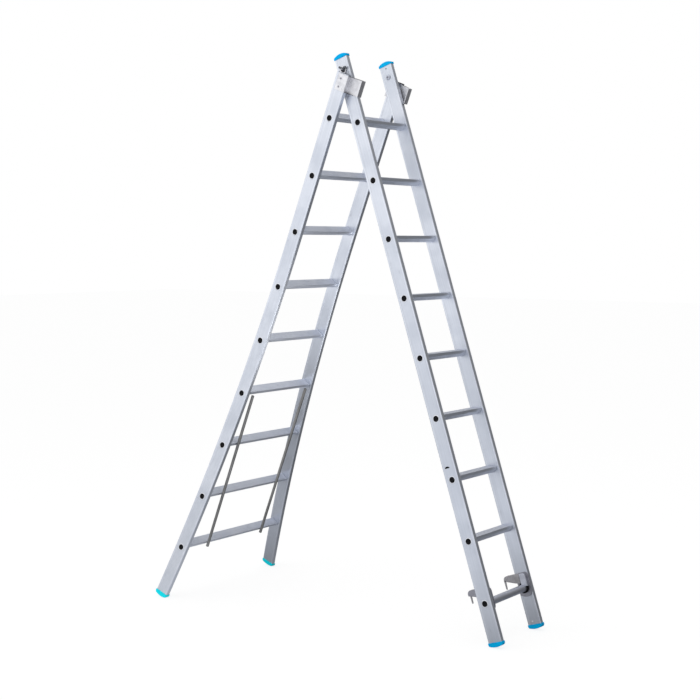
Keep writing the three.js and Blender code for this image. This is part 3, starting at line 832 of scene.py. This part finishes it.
def make_top_plugs():
    """Flat black plugs in the base section's upper stile ends; the left one has sunk in."""
    plug_x = STILE_DEPTH / 2 - STILE_WALL - CLEARANCE
    plug_y = STILE_THICKNESS / 2 - STILE_WALL - BAND_DEPTH - CLEARANCE
    flange_x = STILE_DEPTH / 2 - 0.5
    flange_y = STILE_THICKNESS / 2 - 0.5
    middle = (BASE_WIDTH - STILE_THICKNESS) / 2
    bottom = BASE_TOP - TOP_PLUG_DEPTH
    core = [(-plug_x, bottom), (plug_x, bottom), (plug_x, BASE_TOP + 1), (-plug_x, BASE_TOP + 1)]
    flange = [(-flange_x, BASE_TOP + CLEARANCE), (flange_x, BASE_TOP + CLEARANCE),
              (flange_x, BASE_TOP + FLANGE_HEIGHT), (-flange_x, BASE_TOP + FLANGE_HEIGHT)]
    for name, side in SIDES.items():
        sunk = Matrix.Translation((0, 0, -PLUG_SUNK if side < 0 else 0))
        place = sunk @ Matrix.Diagonal((1, side, 1, 1))
        plug = Form().slab(core, middle - plug_y, middle + plug_y, 0.5, place)
        if side > 0:
            plug.slab(flange, middle - flange_y, middle + flange_y, 0.9, place)
        plug.piece(f"base_top_plug_{name}_moulding", BASE_FRAME, black_plastic, "base_section",
                   "black_plastic", f"base_top_plug_{name}")


# ---- fly section fittings ------------------------------------------------------------------------
def make_bolts():
    """Pivot bolts with a domed, recessed head inside and a threaded end."""
    face = FLY_WIDTH / 2 - STILE_THICKNESS - CLEARANCE
    head = [(0.01, face - 2.4), (3.9, face - 2.4), (4.6, face - 4.9), (6.6, face - 4.6),
            (9.4, face - 2.9), (11.2, face - 0.6), (11.4, face), (BOLT_RADIUS, face),
            (BOLT_RADIUS, SHANK_END), (0.01, SHANK_END)]
    # socket is a dark disc at the bottom of the head's recess: painted shade.
    socket = [(0.01, face - 2.6), (3.8, face - 2.6), (3.8, face - 2.3), (0.01, face - 2.3)]
    thread = [(0.01, SHANK_END + 0.1)]
    for i in range(THREAD_TURNS):
        root = SHANK_END + 0.1 + THREAD_PITCH * i
        thread += [(BOLT_RADIUS - 0.5, root), (BOLT_RADIUS, root + 0.4)]
    thread += [(BOLT_RADIUS - 0.9, BOLT_REACH), (0.01, BOLT_REACH)]
    for name, side in SIDES.items():
        spot = outward(side, 0, 0, PIVOT_UP_FLY)
        node = f"pivot_bolt_{name}"
        bolt = Form().turned(head, spot, 28)
        bolt.piece(f"{node}_head", FLY_FRAME, cover_metal, "fly_section", "zinc_steel", node)
        # One dark piece: the threaded end, and the painted-shade disc in the head's recess.
        dark = Form().turned(thread, spot, 24).turned(socket, spot, 24)
        dark.piece(f"{node}_thread", FLY_FRAME, rivet_metal, "fly_section", "zinc_steel", node)


def make_wing_nuts():
    """Wing nuts between the stiles, clamping the ears of the hinge blocks."""
    inner = HINGE_SEAT + EAR_THICKNESS + CLEARANCE
    outer = BASE_WIDTH / 2 - STILE_THICKNESS - CLEARANCE
    hub = [(BOLT_RADIUS + 0.4, inner), (9.4, inner), (10, inner + 0.6), (9.6, inner + 1.6),
           (8.4, inner + 2.4), (7.6, outer - 1.2), (6.8, outer), (BOLT_RADIUS + 0.4, outer)]
    wing = [(5.5, -4.4), (11, -3.6), (16.5, -4.3)]
    wing += arc(17.4, 0, 4.4, -80, 80, 10)
    wing += [(16.5, 4.3), (11, 3.6), (5.5, 4.2)]
    nut_level = Matrix.Translation((pivot.x, 0, pivot.z))
    middle = (inner + outer) / 2
    for name, side in SIDES.items():
        nut = Form().turned(hub, outward(side, 0, 0, 0), 32)
        rise = WING_TILT if side < 0 else 0
        for turn in (rise, math.pi - rise):
            place = Matrix.Rotation(-turn, 4, "Y") @ Matrix.Diagonal((1, side, 1, 1))
            nut.slab(wing, middle - 2.5, middle + 2.5, 1.2, place)
        nut.piece(f"wing_nut_{name}_moulding", nut_level, slate_plastic, f"wing_nut_{name}",
                  "black_plastic", f"wing_nut_{name}")


def carve(thing, tool):
    """Cuts a tool form out of a piece for good.

    Known fault: in the hook plates the bore stays closed, and the hook covers come out uncut.
    """
    mesh = bpy.data.meshes.new("tool")
    mesh.from_pydata([point * MM for point in tool.points], [], tool.faces)
    cutter = bpy.data.objects.new("tool", mesh)
    bpy.context.scene.collection.objects.link(cutter)
    cutter.matrix_world = thing.matrix_world
    thing.modifiers.clear()
    hole = thing.modifiers.new("hole", "BOOLEAN")
    hole.object = cutter
    hole.operation = "DIFFERENCE"
    hole.solver = "EXACT"
    bpy.context.view_layer.update()
    evaluated = thing.evaluated_get(bpy.context.evaluated_depsgraph_get())
    carved = bpy.data.meshes.new_from_object(evaluated)
    thing.modifiers.clear()
    thing.data = carved
    carved.set_sharp_from_angle(angle=SMOOTH_BELOW)
    thing.modifiers.new("even_shading", "WEIGHTED_NORMAL").keep_sharp = True
    bpy.data.objects.remove(cutter)


def hook_outlines():
    """Outlines in X-Z of the hook's side plate, thick arm, thin tip and cover block."""
    beak = [(-62, 61)] + bow((-62, 61), (-79, 60), (-80, 45)) + [(-79, 38), (-66, 36), (-27, 24)]
    plate = [(-28, -28)] + bow((-28, -28), (-8, -40), (14, -37))
    plate += bow((14, -37), (29, -33), (33, -14))
    plate += [(33, 44)] + bow((33, 44), (31, 62), (16, 63)) + beak + [(-23, 0)]
    arm = [(HOOK_SEAM - 1, 22.6), (HOOK_SEAM - 1, 62)] + beak
    tip = [(-79.8, 44), (-79, 9)] + bow((-79, 9), (-76, 2), (-73, 9)) + [(-71.5, 44)]
    cover = [(24, 6), (24, 46)] + bow((24, 46), (23, 59), (12, 60))
    cover += [(HOOK_SEAM, 60), (HOOK_SEAM, 6)]
    return plate, arm, tip, cover


def ring_tool(radius):
    """A round bar on the tube's axis, long enough to cut through the hooks on both sides."""
    circle = arc(0, 0, radius, 0, 360 - 360 / TUBE_STEPS, TUBE_STEPS - 1)
    return Form().add([[(x, y, z) for x, z in circle] for y in (-FLY_WIDTH, FLY_WIDTH)])


def make_hooks():
    """Hooks that swing on the round rung: plate, arm with thin tip, cover block, black bush."""
    plate, arm, tip, cover = hook_outlines()
    plate_outer = FLY_WIDTH / 2 - STILE_THICKNESS - HOOK_GAP
    plate_inner = plate_outer - HOOK_PLATE
    bore = TUBE_RADIUS + TUBE_PLAY
    bush_face = HOOK_INSIDE + BUSH_SETBACK
    bush_back = plate_inner - CLEARANCE
    bush_profile = [
        (bore, bush_face + 0.6), (bore + 0.8, bush_face), (BUSH_RADIUS - 1.5, bush_face),
        (BUSH_RADIUS, bush_face + 1.2), (BUSH_RADIUS, bush_back), (bore, bush_back),
    ]
    for name, side in SIDES.items():
        mirror = Matrix.Diagonal((1, side, 1, 1))
        node = f"hook_{name}"
        flat = Form().slab(plate, plate_inner, plate_outer, 0.7, mirror)
        piece = flat.piece(f"{node}_plate", FLY_FRAME, rivet_metal, node, "hook_steel", node)
        carve(piece, ring_tool(bore))
        hook = Form().slab(arm, HOOK_INSIDE, plate_inner, 1.4, mirror)
        hook.slab(tip, HOOK_INSIDE, HOOK_INSIDE + HOOK_TIP, 0.6, mirror)
        piece = hook.piece(f"{node}_arm", FLY_FRAME, hook_metal, node, "hook_steel", node)
        carve(piece, ring_tool(bore))
        block = Form().slab(cover, HOOK_INSIDE, plate_inner - CLEARANCE, 1.6, mirror)
        piece = block.piece(f"hook_cover_{name}_block", FLY_FRAME, cover_metal, node,
                            "hook_steel", f"hook_cover_{name}")
        carve(piece, ring_tool(BUSH_RADIUS + CLEARANCE))
        bush = Form().turned(bush_profile, outward(side, 0, 0, 0), 36)
        bush.piece(f"hook_bush_{name}_ring", FLY_FRAME, black_plastic, node,
                   "black_plastic", f"hook_bush_{name}")


def make_stop_pad():
    """Half-moon rubber pad pressed into the outer face of the left fly stile, above rung 3."""
    up = 2 * RUNG_PITCH + PAD_ABOVE_RUNG
    half_moon = arc(PAD_BACK, up, PAD_RADIUS, 8, 172, 14)
    outline = [(x, up + (z - up) * PAD_SQUASH) for x, z in half_moon]
    face = FLY_WIDTH / 2 - BAND_DEPTH
    pad = Form().slab(outline, face - 1, face + PAD_PROUD, 0.6, Matrix.Diagonal((1, -1, 1, 1)))
    pad.piece("fly_stop_pad_left", FLY_FRAME, black_plastic, "fly_section", "black_plastic")


# ---- stage ---------------------------------------------------------------------------------------
CAMERA_PLACE = (3.4467, -4.7225, 1.5758)
CAMERA_YAW = 0.63472
CAMERA_PITCH = 0.07755
CAMERA_LENS = 70.28
SENSOR_WIDTH = 36


def make_camera():
    """Standing eye height, looking slightly down, across the ladder."""
    camera = bpy.data.cameras.new("camera")
    camera.lens = CAMERA_LENS
    camera.sensor_width = SENSOR_WIDTH
    viewer = bpy.data.objects.new("camera", camera)
    viewer.location = CAMERA_PLACE
    viewer.rotation_euler = (math.pi / 2 - CAMERA_PITCH, 0, CAMERA_YAW)
    bpy.context.scene.collection.objects.link(viewer)
    bpy.context.scene.camera = viewer


FLOOR_SIZE = 60
FLOOR_DROP = 0.0005
FLOOR_WHITE = (0.9, 0.9, 0.9, 1)
FLOOR_GLOW = 1.1
FLOOR_GLOW_SHARE = 0.74
# What metal sees of the floor. Along BRIGHT_WAY, and away from DULL_SPOT, it brightens from the
# third number to the fourth between the first two distances, in metres.
THROWN_TINT = (0.96, 0.985, 1.03, 1)
BRIGHT_WAY = (-0.2, -0.98, 0)
BRIGHT_RANGE = (-1.0, 1.9, 0.12, 1.04)
DULL_SPOT = (-3.4, -1.8, 0)
DULL_RANGE = (1.5, 2.9, 0.09, 1.0)


def vector_value(tree, operation, source, vector):
    """A dot product or a distance between a place or direction and a fixed vector."""
    node = tree.nodes.new("ShaderNodeVectorMath")
    node.operation = operation
    node.inputs[1].default_value = vector
    tree.links.new(source, node.inputs[0])
    return node.outputs["Value"]


def make_floor():
    """Plain pale floor; what it throws back at the metal is dull behind and in a patch at left."""
    mesh = bpy.data.meshes.new("floor")
    half = FLOOR_SIZE / 2
    corners = [(-half, -half, 0), (half, -half, 0), (half, half, 0), (-half, half, 0)]
    mesh.from_pydata(corners, [], [(0, 1, 2, 3)])
    floor = bpy.data.objects.new("floor", mesh)
    floor.location.z = -FLOOR_DROP
    bpy.context.scene.collection.objects.link(floor)
    material = bpy.data.materials.new("floor")
    material.use_nodes = True
    tree = material.node_tree
    nodes = tree.nodes
    links = tree.links
    nodes.remove(nodes["Principled BSDF"])
    pale = nodes.new("ShaderNodeBsdfDiffuse")
    pale.inputs["Color"].default_value = FLOOR_WHITE
    glow = nodes.new("ShaderNodeEmission")
    glow.inputs["Strength"].default_value = FLOOR_GLOW
    seen = nodes.new("ShaderNodeMixShader")
    seen.inputs["Fac"].default_value = FLOOR_GLOW_SHARE
    links.new(pale.outputs["BSDF"], seen.inputs[1])
    links.new(glow.outputs["Emission"], seen.inputs[2])
    place = nodes.new("ShaderNodeTexCoord").outputs["Object"]
    ahead = vector_value(tree, "DOT_PRODUCT", place, BRIGHT_WAY)
    away = vector_value(tree, "DISTANCE", place, DULL_SPOT)
    fade = nodes.new("ShaderNodeMath")
    fade.operation = "MULTIPLY"
    links.new(smooth_range(tree, ahead, BRIGHT_RANGE), fade.inputs[0])
    links.new(smooth_range(tree, away, DULL_RANGE), fade.inputs[1])
    thrown = nodes.new("ShaderNodeEmission")
    thrown.inputs["Color"].default_value = THROWN_TINT
    links.new(fade.outputs["Value"], thrown.inputs["Strength"])
    path = nodes.new("ShaderNodeLightPath")
    choice = nodes.new("ShaderNodeMixShader")
    links.new(path.outputs["Is Camera Ray"], choice.inputs["Fac"])
    links.new(thrown.outputs["Emission"], choice.inputs[1])
    links.new(seen.outputs["Shader"], choice.inputs[2])
    links.new(choice.outputs["Shader"], nodes["Material Output"].inputs["Surface"])
    mesh.materials.append(material)


# Soft light from far away: the direction it comes from, the cosines between which it rises, and
# its strength. The last one takes light away.
GLOWS = (
    ((-0.52, -0.84, 0.10), 0.2, 0.95, 0.56),
    ((-0.9, 0.4, 0.25), 0.2, 1.0, 0.22),
    ((0.0, 0.0, 1.0), 0.3, 1.0, 0.28),
    ((0.0, 0.78, 0.62), 0.5, 1.0, 0.14),
    ((0.75, 0.65, -0.05), 0.3, 1.0, -0.30),
)
AMBIENT = 0.42


def make_world():
    """White behind the ladder; what lights it is a soft grey room, brightest at camera left."""
    world = bpy.data.worlds.new("studio")
    bpy.context.scene.world = world
    world.use_nodes = True
    tree = world.node_tree
    nodes = tree.nodes
    links = tree.links
    background = nodes["Background"]
    background.inputs["Color"].default_value = (1, 1, 1, 1)
    place = nodes.new("ShaderNodeTexCoord").outputs["Generated"]
    total = None
    for direction, low, high, strength in GLOWS:
        toward = vector_value(tree, "DOT_PRODUCT", place, Vector(direction).normalized())
        more = nodes.new("ShaderNodeMath")
        more.operation = "ADD"
        links.new(smooth_range(tree, toward, (low, high, 0, strength)), more.inputs[0])
        if total:
            links.new(total, more.inputs[1])
        else:
            more.inputs[1].default_value = AMBIENT
        total = more.outputs["Value"]
    path = nodes.new("ShaderNodeLightPath")
    white = nodes.new("ShaderNodeMix")
    links.new(path.outputs["Is Camera Ray"], white.inputs["Factor"])
    links.new(total, white.inputs["A"])
    white.inputs["B"].default_value = 1.0
    links.new(white.outputs["Result"], background.inputs["Strength"])


LIGHTS_AIM = Vector((0, 0, 1.1))
# Place and size in metres, power in watts.
LIGHTS = (
    ("key", (-3.2, -4.6, 2.6), 3.2, 10),
    ("fill", (5.5, -3.2, 1.4), 2.5, 15),
    ("under", (0.15, 0.0, 0.92), 0.5, 2.2),
    ("overhead", (0.6, -0.6, 5.0), 4.0, 30),
)


def make_lights():
    """Soft lamps: camera left, camera right, one inside the ladder aimed up and one overhead."""
    for name, place, size, power in LIGHTS:
        light = bpy.data.lights.new(name, "AREA")
        light.size = size
        light.energy = power
        lamp = bpy.data.objects.new(name, light)
        lamp.location = place
        lamp.rotation_euler = (LIGHTS_AIM - Vector(place)).to_track_quat("-Z", "Y").to_euler()
        lamp.visible_camera = False
        bpy.context.scene.collection.objects.link(lamp)


make_stiles()
make_rungs()
make_plugs()
make_ends()
make_brackets()
make_hinge_blocks()
make_rivets()
make_rods()
make_top_plugs()
make_bolts()
make_wing_nuts()
make_hooks()
make_stop_pad()
make_camera()
make_floor()
make_world()
make_lights()
bpy.context.scene.view_settings.view_transform = "Standard"
